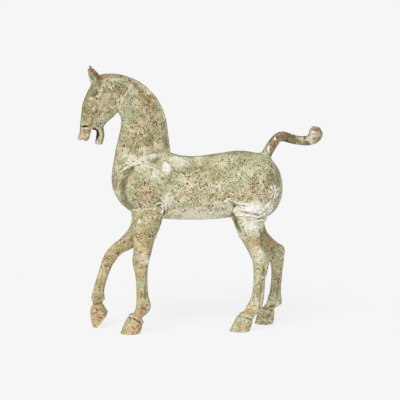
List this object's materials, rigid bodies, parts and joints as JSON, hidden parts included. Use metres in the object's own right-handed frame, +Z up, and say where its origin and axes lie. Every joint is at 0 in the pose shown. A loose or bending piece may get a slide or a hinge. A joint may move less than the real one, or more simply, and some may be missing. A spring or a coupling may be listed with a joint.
{
  "type": "bronze horse sculpture",
  "caption": "Standing horse cast in bronze, with an arched neck, a stepping foreleg and a raised tail, that stands free on its hooves.",
  "frame": {"origin": "middle of the footprint of the whole horse, on the ground under its hooves", "axes": "+X from the head to the tail, +Y to the horse's right side, +Z up"},
  "size_m": [0.5534, 0.1322, 0.5985],
  "materials": {
    "green_bronze": "cast bronze under a matt grey-green patina with rust-red specks and white crust",
    "brown_bronze": "cast bronze under a matt brown and grey-green patina"
  },
  "bodies": {
    "root": {"body": "green_bronze", "head_and_neck": "green_bronze", "foreleg_left": "green_bronze", "foreleg_right": "green_bronze", "hindleg_left": "green_bronze", "hindleg_right": "green_bronze", "tail": "brown_bronze"}
  },
  "joints": []
}
